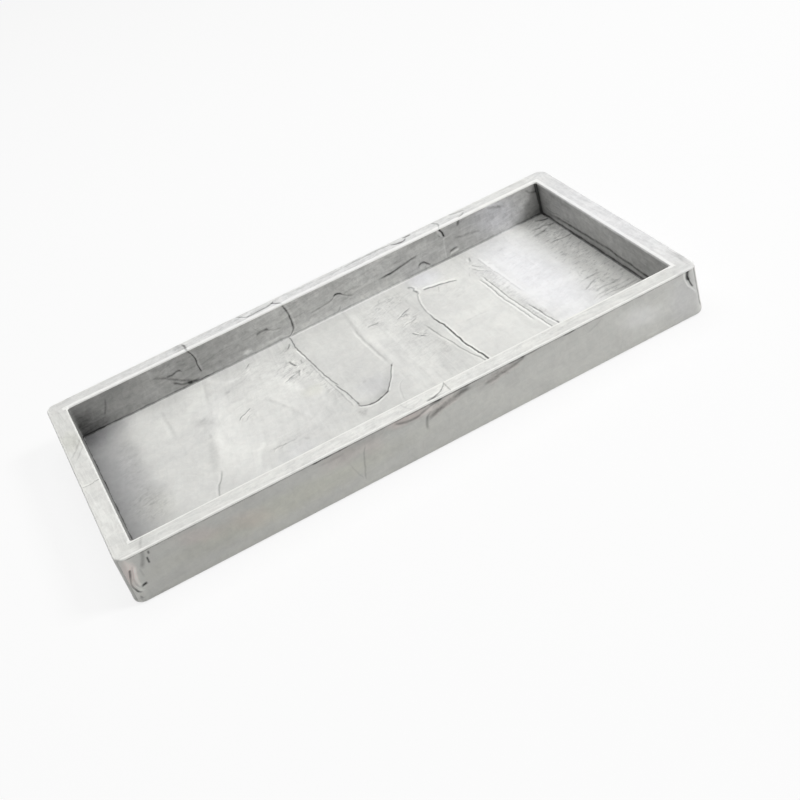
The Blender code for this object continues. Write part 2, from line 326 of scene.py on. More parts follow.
PATCHES["floor"] = (
    # Painted shade in the back corner of the left end, and the left end's cloudy greys
    Patch(-88, 44, 17, 14, -0.2, yellow=-0.03),
    Patch(-49, 35, 5, 7, -0.08, turn=-10),
    Patch(-92, 5, 14, 60, yellow=-0.035),
    Patch(-83, -13, 8, 13, -0.02, turn=8, yellow=0.02, ruffle=0.4),
    Patch(-82, -4, 0.7, 1.4, -0.08),
    Patch(-81, -8, 0.7, 1.6, -0.08),
    Patch(-78.5, -11, 0.8, 1.4, -0.08),
    Patch(-79, -15, 0.7, 1.4, -0.07),
    Patch(-76, -12, 0.6, 1.2, -0.06),
    Patch(-82.5, -12, 0.8, 1.4, -0.07),
    Patch(-83, 14, 5, 20, -0.03, turn=-6, ruffle=0.3),
    Patch(-74, 38, 4, 6, 0.05),
    # Painted light in a lighter strip at the foot of the back wall, against the wall's shade; darker strips
    # along the back and front walls; and painted shade in the back right corner
    Patch(-5, 45, 96, 6, 0.05, yellow=-0.02),
    Patch(-20, 34, 105, 7, -0.04),
    Patch(0, -31, 100, 17, -0.07),
    Patch(94, 42, 13, 17, -0.23),
    # Faint wrinkles over each wide part
    Patch(-30, 20, 15, 22, ruffle=0.2),
    Patch(20, 6, 10, 34, ruffle=0.35),
    Patch(44, 24, 9, 16, ruffle=0.25),
    Patch(40, 38, 8, 8, 0.05, yellow=-0.05),
    Patch(70, 8, 8, 34, ruffle=0.28),
    # The specks, pale ridges and wrinkles of the swirl and round it
    Patch(-55.8, 17.6, 2.6, 4.4, -0.13, turn=30, ruffle=0.3),
    Patch(-56, 7.6, 1, 1.6, -0.12),
    Patch(-52.6, 14.4, 1, 2, -0.07),
    Patch(-43, 27.8, 1.6, 1.1, -0.14, turn=20),
    Patch(-41.6, 20.4, 2.4, 1, -0.08, turn=-10),
    Patch(-38, 17, 5, 1.2, -0.04),
    Patch(-31.8, 37.6, 1.4, 0.7, -0.14, turn=35),
    Patch(-24.6, 34.6, 0.9, 3, -0.08, turn=20),
    Patch(-17, 36.4, 3, 1, -0.13, turn=10),
    Patch(-22.8, 17.6, 2.6, 0.8, -0.12, turn=12),
    Patch(-65.4, 26, 0.7, 14, -0.05),
    Patch(-58.6, -4, 2.2, 14, -0.05, turn=-14),
    Patch(-47.5, 20, 3.4, 24, 0.05, turn=-11),
    Patch(-23, 14, 1.6, 16, 0.05, turn=18),
    Patch(-30.5, 6, 0.9, 8, -0.05, turn=22),
    Patch(-39, -16, 5, 1.1, -0.08, turn=-4, ruffle=0.5),
    Patch(-35, -23, 9, 7, -0.05, yellow=-0.02),
    Patch(-45, -17, 1, 7, -0.05, turn=-25),
    Patch(-30.2, -18.6, 0.6, 1.2, -0.14),
    Patch(-42, 9, 5, 4, ruffle=0.5),
    Patch(-40, 33.5, 5, 2, 0.05),
    Patch(-44, -4, 14, 13, 0.03, turn=-15),
    Patch(-20, 22, 7, 11, -0.03, ruffle=0.9),
    Patch(-17.4, 34, 5, 6, -0.04, ruffle=0.5),
    Patch(-33, 34, 8, 7, -0.02, ruffle=0.4),
    Patch(-14.5, 8, 2.4, 20, turn=4, ruffle=0.7),
    Patch(-19, 5, 5, 4, 0.01, yellow=0.03),
    Patch(-10.6, -20, 1.8, 4, -0.14, ruffle=0.5),
    Patch(-36, -15, 9, 4, ruffle=0.3),
    # Inside the tongue
    Patch(-2, -9, 8, 8, -0.05, yellow=-0.02),
    Patch(-3.2, -4.2, 0.8, 1.1, -0.12),
    Patch(7.6, -2.6, 0.55, 0.8, -0.3, turn=-30),
    Patch(6.6, -8, 1.6, 3, -0.06, turn=-25),
    # Wrinkles beside the long lap
    Patch(24.4, 19, 5.5, 7.5, 0.02, ruffle=0.55),
    Patch(23.5, 5.6, 3, 4.5, ruffle=0.5),
    Patch(26, -7, 2.4, 8, -0.06, ruffle=0.3),
    Patch(26, 6, 7, 40, -0.04, turn=-3),
    Patch(29.5, -15, 1.6, 8, -0.06, turn=8),
    Patch(14, 27, 7, 6, -0.02, ruffle=0.5),
    Patch(23, 34, 10, 7, -0.03, ruffle=0.75),
    Patch(25.2, 21, 0.6, 0.8, -0.2),
    Patch(26.2, 17.2, 0.5, 0.7, -0.16),
    Patch(33.3, 36.9, 0.7, 1.1, -0.34),
    Patch(33.8, 32.4, 0.7, 1, -0.26),
    Patch(18.4, -3.6, 0.7, 2.2, -0.05),
    # The grey band with its ridges, and the bluish white one
    Patch(57.8, 20, 3.4, 24, 0.01, turn=2, ruffle=0.8),
    Patch(64, -18, 4, 8, -0.06),
    Patch(57.2, 11, 1, 1.2, -0.12),
    Patch(58.7, 24, 0.7, 0.7, -0.18),
    Patch(58.6, -10, 2.4, 20, -0.13, turn=3, ruffle=0.6),
    Patch(61.4, 25, 1.2, 7, 0.16, ruffle=0.8),
    Patch(59.6, -24, 0.6, 1.4, -0.3),
    Patch(69.4, 33, 1.6, 1.6, -0.06, ruffle=0.5),
    Patch(69, 6, 14, 52, 0.01, yellow=-0.05),
    Patch(68, 40, 9, 12, -0.11),
    Patch(78.6, -9.4, 1.8, 0.8, -0.08),
    # The mottled right end
    Patch(88, 30, 8, 13, -0.03, ruffle=0.9),
    Patch(88, 8, 6, 12, ruffle=0.8),
    Patch(87.4, 37, 0.8, 1.3, -0.16, turn=-20),
    Patch(91.6, 26.3, 0.8, 0.9, -0.16),
    Patch(89.4, 22.9, 0.7, 0.6, 0.14),
    Patch(85.8, -1.7, 0.6, 0.7, -0.12),
    Patch(86.6, -17, 0.8, 0.9, -0.22),
    Patch(88.4, -14, 2, 0.6, -0.1, turn=25),
    Patch(92, -4.8, 4, 0.7, -0.08),
    Patch(82, -16, 7, 11, -0.02, ruffle=0.6),
)
TONE_AND_PAINTED_LIGHT_ZONES["floor"] = {
    -94: 0.38, -91: 0.41, -89: 0.44, -85: 0.57, -80: 0.72, -75: 0.9, -70: 0.95, -60: 0.96, -50: 1.05,
    -40: 0.99, -28: 1.01, -18: 0.96, -5: 0.94, 2: 0.93, 10: 1.0, 17: 1.0, 24: 0.95, 36: 1.0, 44: 1.01,
    50: 1.05, 57: 1.0, 62: 1.13, 68: 1.12, 74: 1.07, 78: 1.02, 82: 1.0, 86: 1.06, 90: 0.95, 94: 0.84
}

# The inner walls

LINES["inside_back"] = (
    # Where laps cross the wall
    Line("v", {18: -48.4, 16.6: -47.8, 15: -47.1, 13: -46.8, 11: -46.9, 8: -46.7}, 0.42, 0.45, 0.08,
         light=0.12),
    Line("v", {18: -11.7, 16.5: -11, 14.5: -10.5, 12: -10.3, 9.5: -10.3, 7.7: -10.4, 6.6: -10.9, 5.8: -11.8,
         5: -13.4}, 0.5, 0.6, 0.1, light=0.12, fade=1),
    Line("v", {17.8: 52.4, 16.6: 52.8, 15.4: 53.3, 14.2: 53.5}, 0.8, 0.65, 0.08, light=-0.2, fade=1),
    Line("v", {13.8: 53.4, 11.5: 52.8, 9: 52.5, 6: 52.2}, -0.14),
    Line("v", {18: 60.6, 16.8: 60.2, 15.6: 59.7}, 0.4, 1.0, fade=1),
    # The dark branches near the left end
    Line("u", {-62.5: 13.3, -61.5: 13, -60: 12.2, -58: 10.8, -56: 9.5, -54: 8.1, -52: 6.8, -50: 5.8,
         -47.5: 5.2}, 0.26, 1.0, 0.06),
    Line("u", {-52.6: 6.2, -50.5: 5.8, -48.2: 5.9}, 0.26, 0.8, fade=1),
    Line("u", {-57.2: 8.4, -56.2: 7.9, -55: 7, -53: 6.2, -51: 5.6}, 0.34, 0.9, fade=1),
    Line("u", {-58.4: 11.8, -56.8: 11.7, -55.6: 11.9, -54.4: 12.2, -53: 11.4}, 0.34, 0.7, 0.04, fade=1),
    Line("u", {-52.8: 11.2, -51: 11, -48: 10.9}, 0.1),
    Line("u", {-46: 10.4, -42: 11.1, -39: 11.7, -36.5: 11.9}, 0.12),
    Line("v", {14.6: -80.6, 12.2: -81.5, 9.4: -82.8}, 0.22, 0.7),
    # The streaks along the wall
    Line("u", {-23.8: 11.3, -22.4: 11.6, -20.6: 11.7, -19.2: 11.3}, 0.42, 0.8, 0.05, fade=1),
    Line("u", {-19.8: 11.4, -18.5: 10.9, -17: 10.1, -14.6: 9.8}, 0.14, light=-0.08),
    Line("v", {14.4: -24, 13.2: -23.2, 12: -22.4}, 0.14),
    Line("u", {-9.5: 11.2, -4: 11.1, 2: 10.9}, 0.08, 0.42),
    Line("u", {-2.6: 9.8, 0: 9.8, 2: 10.1, 4.5: 10.5, 6.5: 11, 7.6: 11.8, 8.6: 12, 9.6: 11.7, 10.6: 10.9,
         11.8: 9.9, 13.8: 9}, 0.26, 0.5, 0.06, light=-0.08),
    Line("u", {7.4: 11.7, 8.6: 12, 9.6: 11.8, 10.4: 11.2}, 0.4, 0.8, fade=1),
    Line("u", {12: 11.1, 18: 11, 24: 11.6, 29: 11.3, 34: 11}, 0.12, 0.6),
    Line("v", {7: 8.2, 6: 7.8, 5.4: 6.8}, 0.2, 0.8, fade=1),
    Line("u", {14: 9.4, 20: 9.6, 26.5: 9.8, 31: 10.1}, 0.12, 0.6, fade=6),
    Line("u", {27: 9.8, 29: 10, 31: 10.1, 34: 10.6, 37: 11.2, 39.5: 11.6, 41.2: 11.7}, 0.46, 0.7, 0.06,
         light=-0.06, fade=6),
    Line("u", {41: 7.4, 42.2: 8.2, 43.2: 8.2, 44: 7.5, 45.4: 6.2}, 0.5, 0.8, 0.05, light=-0.1, fade=1),
    Line("u", {54: 7, 55.4: 7.7, 57.6: 7.7}, 0.45, 0.65, 0.05, light=-0.4, fade=1),
    Line("v", {15.4: 51.4, 14.6: 52, 14.2: 52.6}, 0.24, fade=1),
    Line("u", {57.5: 11.6, 59: 11.4, 60: 11, 63: 10.7, 67.5: 9.4}, 0.18, 0.8),
    Line("u", {72.6: 16.6, 75: 15.9, 76.6: 15.4, 78: 14.8}, 0.26, 0.9, light=0.2),
    Line("u", {89: 16.4, 90.5: 15, 92: 14.4, 93.4: 14.6}, 0.3, 0.8),
    # Painted shade in the corner with the right wall
    Line("v", {18: 93, 11: 92.8, 5: 92.9}, 0.5, 0.6, fade=1),
    # Painted shade along the joint with the floor
    Line("u", {-93: 5.2, -44: 5.2}, 0.26, fade=4),
    Line("u", {-46: 5.2, 93: 5.2}, 0.2, fade=4),
)
PATCHES["inside_back"] = (
    Patch(0, 11, 92, 8, ruffle=0.25),
    # Painted shade in the lower left corner
    Patch(-93, 5, 11, 13, -0.38),
    Patch(-82, 6, 7, 4, -0.08),
    Patch(-60, 9.4, 6, 2.4, -0.06, turn=-30),
    Patch(-85, 17, 9, 3, 0.07),
    Patch(-45, 17, 8, 2.4, -0.07),
    Patch(45, 16.6, 6, 2.4, -0.1),
    Patch(-48, 6.4, 8, 2, 0.08),
    Patch(-91, 17, 4, 4, 0.1),
    Patch(-29, 7, 2.6, 1.2, 0.5, turn=-15),
    Patch(-17, 6.2, 5, 1, 0.22, turn=-6),
    Patch(-64, 15.4, 3, 1.4, 0.14),
    # Painted light along the foot of the wall, where the floor throws light back
    Patch(-4, 5.6, 48, 3, 0.18),
    Patch(-55, 15, 8, 3, ruffle=0.5),
    Patch(-8, 16, 7, 2.4, -0.05, ruffle=0.4),
    Patch(14, 12, 10, 5, ruffle=0.3),
    Patch(75, 12, 14, 9, 0.06, turn=-30, yellow=-0.05, ruffle=0.3),
    # Painted shadow of the right wall in the lower right corner
    Patch(91, 3.4, 12, 6, -0.42, turn=-20),
)
# Darker towards both ends: painted shade in the corners
TONE_AND_PAINTED_LIGHT_ZONES["inside_back"] = {
    -94: 0.5, -88: 0.6, -80: 0.68, -70: 0.79, -60: 0.9, -50: 0.8, -42: 0.87, -30: 0.97, -18: 1.06, -5: 1.16,
    10: 1.15, 20: 1.21, 32: 1.14, 45: 1.06, 60: 1.03, 70: 1.09, 78: 1.3, 84: 1.3, 88: 1.15, 91: 0.9, 94: 0.55
}
LINES["inside_right"] = (
    Line("u", {-43: 7, -27: 7.5, -20: 7.8, -15: 8, -9.5: 8, -5: 8.5, 0: 8.4, 5: 8.2, 13: 8, 20: 7.8,
         26: 7.6, 34: 7.2}, 0.42, 1.0, 0.08, light=-0.1, fade=10),
    # Painted shade along the joint with the floor and in the back corner
    Line("u", {-43: 5.4, 0: 5.3, 43: 5.3}, 0.4, 0.8, fade=1),
    Line("v", {18: 42.7, 11: 42.5, 5: 42.6}, 0.7, 0.6, fade=1),
    Line("u", {22: 9.4, 26: 8.8, 30: 9.2, 34: 8.4, 38: 8.8}, 0.18),
    Line("u", {-3.5: 9.6, -6: 9.4, -9: 8.8}, 0.1),
)
PATCHES["inside_right"] = (
    # Painted shade along the foot of the wall
    Patch(0, 4.8, 46, 3.6, -0.26),
    Patch(17, 9.2, 1.2, 1, -0.08),
)
# Painted shade over the wall, deepest in its back corner
TONE_AND_PAINTED_LIGHT_ZONES["inside_right"] = {
    -43: 0.8, -18: 0.84, -9: 0.94, 0: 0.86, 10: 0.88, 20: 0.93, 30: 1.02, 36: 0.82, 40: 0.63, 42: 0.38,
    43.5: 0.3
}
LINES["inside_left"] = (
    Line("v", {18: -6, 14: -5.2, 10: -6.4, 5: -7}, 0.3, 0.42, 0.06),
    Line("u", {8: 9.5, 16: 11, 24: 10.2, 33: 12}, 0.2, 0.5, 0.04),
    Line("u", {-35: 8, -27: 9.4, -18: 8.8}, 0.2),
    # Painted shade along the joint with the floor
    Line("u", {-43: 5.2, 43: 5.2}, 0.45, 0.6, fade=1),
)
# Painted shade over the whole wall
TONE_AND_PAINTED_LIGHT_ZONES["inside_left"] = {-43: 0.5, 0: 0.5, 43: 0.46}
LINES["inside_front"] = (
    Line("v", {18: 35.5, 14: 35, 9: 34.8, 5: 34.4}, 0.45, 0.45, 0.08, light=0.1),
    Line("v", {15: 58.6, 9: 58.4, 5: 58.5}, 0.3, 0.42, 0.06, light=-0.1),
    Line("v", {18: -66.5, 13: -65, 8: -64.6, 5: -64}, 0.28, 0.5, 0.05),
    Line("u", {-28: 10, -18: 12, -8: 10.6, 2: 11.4, 12: 9.8}, 0.24, 0.5, 0.05),
    Line("u", {70: 8, 76: 10.4, 83: 11}, 0.2),
    # Painted shade along the joint with the floor
    Line("u", {-93: 5.2, 93: 5.2}, 0.3, fade=1),
)

# The outer walls

LINES["outside_front"] = (
    # Smears that hang from the rim
    Line("u", {-9: 16.3, -7: 15.6, -4: 15.1, -2: 15.3, 0: 15.8, 3: 16.5, 6.5: 17.1}, 0.3, 0.7, 0.04,
         shade=-0.12, reach=2),
    Line("u", {-14: 14.6, -10: 14.8, -6: 14.3, -3: 14.4, 0: 15}, 0.06, 1.2),
    Line("u", {14: 17, 18: 15.8, 23: 15.6, 28: 16.2, 33: 17}, 0.05, 1.3, fade=3),
    Line("u", {18: 13.6, 22: 14, 26: 14.6}, 0.05, 1.4, fade=3),
    Line("v", {14.4: 2.2, 13.4: 0.9, 12: 0.3, 9.6: -0.1}, 0.26, 0.8),
    Line("u", {1.4: 12.8, 3.6: 13.6, 6: 14.2, 9: 14.9, 12: 15.5, 16: 16.3}, 0.32, 1.4, shade=-0.06,
         reach=2.4, fade=3),
    Line("u", {21.4: 14.4, 23: 14.6, 26: 15, 28.5: 15.3, 32: 15.9, 36: 16.8}, 0.24, 0.9, shade=-0.08,
         reach=2, fade=2),
    Line("u", {58.5: 14.2, 60.5: 14.8, 63.5: 16.2}, 0.08, 0.6),
    Line("u", {-35: 15.5, -31: 15.4, -27.4: 15.8}, 0.08, 0.7),
    # The faint fork left of them
    Line("v", {14.2: -20.2, 12: -21.2, 9.4: -22, 6.4: -22.7, 3.6: -23.4}, 0.14, 0.5, 0.04),
    Line("v", {10.4: -26.2, 7: -25.2, 4.4: -24}, 0.08, 0.42),
    # The folds at both ends
    Line("v", {13.4: -97.3, 11.5: -97.8, 9.5: -98.3, 7.6: -98.6, 6: -98.2, 4.7: -97.2}, 0.8, 0.7, 0.06,
         light=0.16, fade=1),
    Line("v", {13.6: -96.4, 11: -97, 8.6: -97.4, 6.6: -96.9}, 0.3, 0.6, 0.04, light=0.14),
    Line("v", {12: -99.1, 8: -99.4, 4.4: -99, 2: -98}, 0.24, light=0.14),
    Line("v", {3.4: -97.9, 2.4: -97.6}, 0.5, 0.7, fade=1),
    Line("u", {-96.1: 6.3, -95.3: 6.6, -94.4: 6.8}, 0.66, 0.75, fade=0.8),
    Line("v", {14.8: -91.1, 12.8: -91.2}, 0.6, 0.55, fade=0.8),
    Line("v", {17.8: -91.8, 16.4: -91.9, 14.4: -92.6, 12.6: -93.4}, 0.22, 1.1),
    Line("v", {16.6: -90.1, 15.6: -90.1}, 0.46, 0.55, fade=0.8),
    Line("v", {12: -94.4, 9.4: -94.2}, 0.1),
    Line("v", {18: 96.2, 16.9: 95.6, 15.8: 95.4, 14.4: 95.6}, 0.8, 1.0, 0.12, fade=1),
    Line("v", {15.6: 95.4, 14.2: 95.7, 12.8: 96.1, 11.4: 96.6}, 0.6, 0.5, 0.08, fade=1),
    Line("v", {17.4: 94.4, 15.4: 94.3, 13.4: 94.8, 11.2: 96, 9: 97.4}, -0.22, 0.6, fade=2),
    Line("v", {17.6: 98.5, 12: 98.3, 8: 98.3, 3: 98.8}, 0.4),
    # Painted shade just under the rim's rounded edge
    Line("u", {-97: 17.4, 0: 17.3, 97: 17.4}, 0.26, 0.45, fade=2),
    Line("u", {-37: 17.3, -31: 17.2, -25: 17.4}, 0.3),
    Line("u", {-8: 17.3, 6: 17.2, 20: 17.4}, 0.16, 0.45, fade=6),
    Line("u", {30: 17.3, 34: 17.1, 42: 17.3}, 0.22),
    Line("u", {50: 17.3, 52: 17.2, 54: 17.3}, 0.34, fade=1),
)
PATCHES["outside_front"] = (
    # Painted light on the left corner
    Patch(-97.5, 12.5, 2.6, 6, 0.2, pink=0.1),
    Patch(-75, 13, 9, 3.5, turn=-20, pink=0.055),
    Patch(-60, 10, 9, 4, turn=-20, pink=0.05),
    Patch(-28, 14.5, 9, 3.5, -0.02, pink=0.05),
    Patch(-18, 13.5, 5, 4, -0.03, pink=0.04),
    Patch(-5, 16.4, 9, 2.2, 0.06, pink=0.09),
    Patch(7, 15, 9, 2.4, turn=8, pink=0.05, ruffle=0.8),
    Patch(15.4, 16.8, 2.4, 1, 0.08),
    Patch(1, 15.8, 3.4, 1.6, 0.16),
    Patch(27, 15.4, 9, 2, -0.02, turn=5, pink=0.04, ruffle=0.7),
    Patch(-22, 15.8, 14, 2.4, -0.13),
    # A painted highlight on the right part of the wall
    Patch(77, 10, 10, 5, 0.2, turn=-15, yellow=-0.02),
    Patch(-98, 2.2, 1.5, 1.5, -0.2),
    Patch(94, 9, 9, 11, 0.03, yellow=-0.03),
    Patch(-48, 9, 50, 5, yellow=0.05),
    # Painted shade just under the rim
    Patch(8, 17.4, 62, 2.8, -0.08),
    Patch(-87, 7, 4, 3, 0.04, turn=30),
)
# Much lighter at the left corner: painted light
TONE_AND_PAINTED_LIGHT_ZONES["outside_front"] = {
    -100: 2.0, -98.6: 1.85, -97: 1.12, -94: 0.96, -88: 0.92, -60: 0.93, -45: 0.98, 0: 1.0, 30: 1.02,
    60: 1.05, 75: 1.06, 82: 1.1, 88: 1.09, 97: 1.0
}
LINES["outside_left"] = (
    Line("v", {17.6: -6.4, 13: -7.6, 8: -6.8, 3: -8.4}, 0.26, 0.45, 0.06, light=-0.07),
    Line("u", {-47: 9.6, -42: 11.4, -34: 10.6, -26: 12.4}, 0.18, 0.6, 0.04),
    Line("u", {6: 8.4, 18: 10.8, 30: 9.8, 42: 12}, 0.14, 0.7, 0.04),
)
PATCHES["outside_left"] = (
    Patch(-38, 11, 8, 6, pink=0.04),
    Patch(24, 10, 14, 5, -0.04),
)
LINES["outside_right"] = (
    Line("u", {-44: 12.4, -30: 11, -16: 12.6, -4: 11.6, 8: 13}, 0.16, 0.6, 0.05),
    Line("v", {17.6: 21, 13: 22.4, 8: 21.6, 3: 23}, 0.26, 0.45, 0.06, light=0.07),
    Line("u", {-10: 5.8, 4: 4.4, 16: 6.2}, 0.12, 0.7),
)
PATCHES["outside_right"] = (
    Patch(-20, 11, 14, 5, -0.04),
    Patch(30, 12, 10, 5, 0.05),
)
LINES["outside_back"] = (
    Line("v", {17.6: -50, 13: -49.2, 8: -50.4, 2: -52}, 0.3, 0.45, 0.07, light=0.08),
    Line("v", {17.6: -13, 14: -12, 9: -11.6, 5: -13.4, 3: -16}, 0.36, 0.5, 0.08, light=0.08),
    Line("v", {17.6: 52, 13: 53.4, 8: 52.8, 5: 51.6}, 0.3, 0.45, 0.06, light=-0.08),
    Line("u", {-44: 15.6, -36: 14, -28: 14.8, -20: 13}, 0.16, 0.8, fade=4),
    Line("u", {4: 9, 12: 11, 20: 10.4, 30: 12.6, 40: 12}, 0.18, 0.6, 0.05),
    Line("u", {62: 14.6, 70: 12.4, 78: 12.8}, 0.12, 0.9, fade=4),
    Line("u", {-86: 6.4, -78: 8.6, -68: 8}, 0.14, 0.6),
)
PATCHES["outside_back"] = (
    Patch(-38, 14, 12, 4, -0.03, pink=0.03),
    Patch(22, 11, 14, 5, -0.05),
    Patch(74, 12, 10, 5, 0.05),
)

# The rim

LINES["rim"] = (
    # Loops on the back side
    Line("u", {-27: 49, -25.4: 47.3, -23.6: 46, -20: 46.2, -16.5: 46.4, -14.2: 47, -12.8: 48.8}, 0.36, 0.75,
         0.08, light=-0.06, fade=1),
    Line("u", {-14: 47.4, -12.6: 45.8, -11.8: 45, -11: 44.2}, 0.5, 0.9, 0.08, fade=1),
    Line("v", {48.6: -48.6, 45.4: -48.3, 43.4: -48.4}, 0.4, 0.7, 0.08, fade=1),
    Line("u", {15.5: 47.8, 20: 48.3, 25: 48.4, 29: 48.6, 34: 48.2}, 0.2, 0.6, 0.04),
    Line("u", {34.8: 47.8, 36.6: 46.6, 38.2: 46.2, 40.4: 47.2}, 0.5, 0.8, 0.06, fade=1),
    Line("u", {40: 48.8, 41.4: 48.5, 43: 48.8}, 0.4, 0.8, fade=1),
    Line("v", {49: 52.2, 47.6: 53, 46.4: 53.7, 44.8: 53.2, 43.4: 52.4}, 0.32, 0.6, 0.08, light=0.06, fade=1),
    Line("u", {59.5: 48.9, 62: 48.3, 64.2: 47.8, 64.9: 46.9, 65.2: 46}, 0.26, 0.6, 0.05, fade=1),
    Line("u", {61.4: 44.6, 62.8: 45, 64.2: 46}, 0.28, 0.6, 0.05, fade=1),
    Line("u", {-8: 47.8, 0: 48.2, 8: 47.6, 14: 48}, 0.08, 0.6, 0.04),
    Line("u", {89.5: 45.3, 92: 45.6, 94: 45.2}, 0.08, 0.6),
    # The folded corner of a lap on the front side
    Line("u", {2.6: -49, 4.4: -49, 6: -48.4, 8: -47.4, 9.4: -46, 10.5: -44.2}, 0.36, 0.6, 0.08, light=0.08,
         fade=1),
    Line("v", {-43.8: 10.5, -49.6: 10.5}, 0.28, 0.4, 0.06, fade=1),
    Line("v", {-43.8: -4.4, -46: -4.1, -48: -3.3, -49.4: -2.4}, 0.1, 0.5, 0.04, fade=1),
    Line("v", {-44.8: 17.6, -46.4: 18.2, -47.6: 17.8}, 0.07, 0.9),
    Line("v", {-43.8: -90, -46.2: -90.8, -49: -91.6}, 0.1, 0.8, 0.04, fade=1),
    Line("v", {-44.2: 44.6, -46: 46.4, -48: 48.4}, 0.06),
    # The left and right sides
    Line("u", {-99.6: -6.4, -97: -6.7, -95.4: -6.4, -93.6: -6}, 0.2, 0.5, 0.05, light=0.06, fade=0.6),
    Line("v", {21: -94, 16.4: -96, 12: -98.8}, 0.12, 0.8),
    Line("v", {15.8: -94.2, 13: -95.6, 9.8: -97.4}, 0.1, 0.7),
    Line("v", {-34: 99, -38: 98.8, -42: 99}, 0.1, 0.4),
)
PATCHES["rim"] = (
    Patch(0, 47, 110, 6, yellow=-0.03, ruffle=0.5),
    Patch(0, -47, 98, 4, 0.07, ruffle=0.45),
    Patch(98, 0, 9, 70, 0.02, yellow=-0.045, ruffle=0.2),
    # Painted light on the front half of the left side
    Patch(-98, -26, 4, 24, 0.12),
    Patch(-95, 31, 3, 3.4, -0.09),
    Patch(-96.5, 22, 5, 8, -0.08, yellow=0.03),
    Patch(-90.5, -46.5, 4, 5, -0.08),
    Patch(-25, 47, 6, 2.4, -0.02, ruffle=0.5),
    Patch(46, -46.5, 8, 3, -0.02),
    Patch(62, 47, 4, 2.4, ruffle=0.5),
    Patch(92, -46.5, 8, 6, -0.05),
    Patch(5, -48.9, 2.4, 0.9, -0.42),
    Patch(-50, 47, 2.4, 4, -0.3, turn=12),
    Patch(37.9, 46.6, 1.1, 0.8, -0.3),
    Patch(98.6, -42, 1.6, 5, -0.14),
)

# The underside

LINES["underside"] = (
    Line("v", {44: -24, 20: -20, -6: -23, -40: -18}, 0.2),
    Line("v", {45: 38, 18: 35, -12: 40, -45: 37}, 0.2),
    Line("u", {-70: -12, -52: -4, -36: -9}, 0.14, 0.7),
)


def face_axes(face):
    """The two axes along which a face's u and v run."""
    return FACE_AXES.get(face.split("_")[-1], "xy")


# The tray's shape

def fillet(inset, height, radius, start, end):
    """Points of an arc in the section. At 0 degrees it faces out of the tray, at 90 up."""
    angles = np.radians(np.linspace(start, end, FILLET_STEPS + 1))
    return [(inset - radius * math.cos(a), height + radius * math.sin(a)) for a in angles]


def between(start, end):
    """Points about a step apart between two points of the section, without these."""
    start, end = np.array(start), np.array(end)
    count = max(1, round(float(np.linalg.norm(end - start)) / STEP))
    return [tuple(start + (end - start) * i / count) for i in range(1, count)]


def section():
    """The section from the flat underside up the outside, over the rim and down to the flat floor.
    Each point is (inset from the outline, height, the part of the tray that starts there)."""
    lean = math.degrees(math.atan2(WALL_LEAN, CAVITY_DEPTH))
    tangent = math.tan(math.radians(90 - lean) / 2)
    base = fillet(BASE_EDGE_RADIUS, BOTTOM + BASE_EDGE_RADIUS, BASE_EDGE_RADIUS, -90, 0)
    outer_edge = fillet(RIM_EDGE_RADIUS, TOP - RIM_EDGE_RADIUS, RIM_EDGE_RADIUS, 0, 90)
    inner_edge = fillet(RIM_WIDTH - RIM_EDGE_RADIUS * tangent, TOP - RIM_EDGE_RADIUS,
                        RIM_EDGE_RADIUS, 90, 180 - lean)
    joint = fillet(FLOOR_INSET + FLOOR_JOINT_RADIUS * tangent, FLOOR + FLOOR_JOINT_RADIUS,
                   FLOOR_JOINT_RADIUS, -lean, -90)
    outside = base + between(base[-1], outer_edge[0])
    rim = outer_edge + between(outer_edge[-1], inner_edge[0]) + inner_edge[:-1]
    inside = inner_edge[-1:] + between(inner_edge[-1], joint[0]) + joint
    parts = (("outside", outside), ("rim", rim), ("inside", inside))
    return [(inset, height, part) for part, points in parts for inset, height in points]


def plan_radius(inset):
    """The radius of the tray's corners seen from above. They grow tighter from the outline inwards."""
    rim_start, rim_end = RIM_EDGE_RADIUS, RIM_WIDTH - RIM_EDGE_RADIUS
    if inset <= rim_start:
        return CORNER_RADIUS - inset
    if inset < rim_end:
        share = (inset - rim_start) / (rim_end - rim_start)
        outer, inner = CORNER_RADIUS - rim_start, CAVITY_CORNER_RADIUS + RIM_EDGE_RADIUS
        return outer + (inner - outer) * share
    if inset < RIM_WIDTH:
        return CAVITY_CORNER_RADIUS + RIM_WIDTH - inset
    return CAVITY_CORNER_RADIUS - max(0, inset - FLOOR_INSET)


def arc(centre, radius, angles):
    """Points of an arc seen from above."""
    return [centre + radius * np.array((math.cos(a), math.sin(a))) for a in angles]


def ring(inset):
    """One level round the tray: (x, y) points anticlockwise from the middle of the front right corner,
    as many for each side as the last level has."""
    radius = plan_radius(inset)
    reach = np.array((HALF_X, HALF_Y)) - inset - radius
    centres = [reach * signs for signs in ((1, -1), (1, 1), (-1, 1), (-1, -1))]
    half_corner = np.radians(np.linspace(0, 45, CORNER_STEPS // 2 + 1))
    points = []
    for side, steps in enumerate(SIDE_STEPS):
        facing = math.radians(90 * side)
        start, end = centres[side], centres[(side + 1) % len(centres)]
        points += arc(start, radius, facing - half_corner[:0:-1])
        first = arc(start, radius, [facing])[0]
        points += [first + (end - start) * i / steps for i in range(steps)]
        points += arc(end, radius, facing + half_corner[:-1])
    return np.array(points)


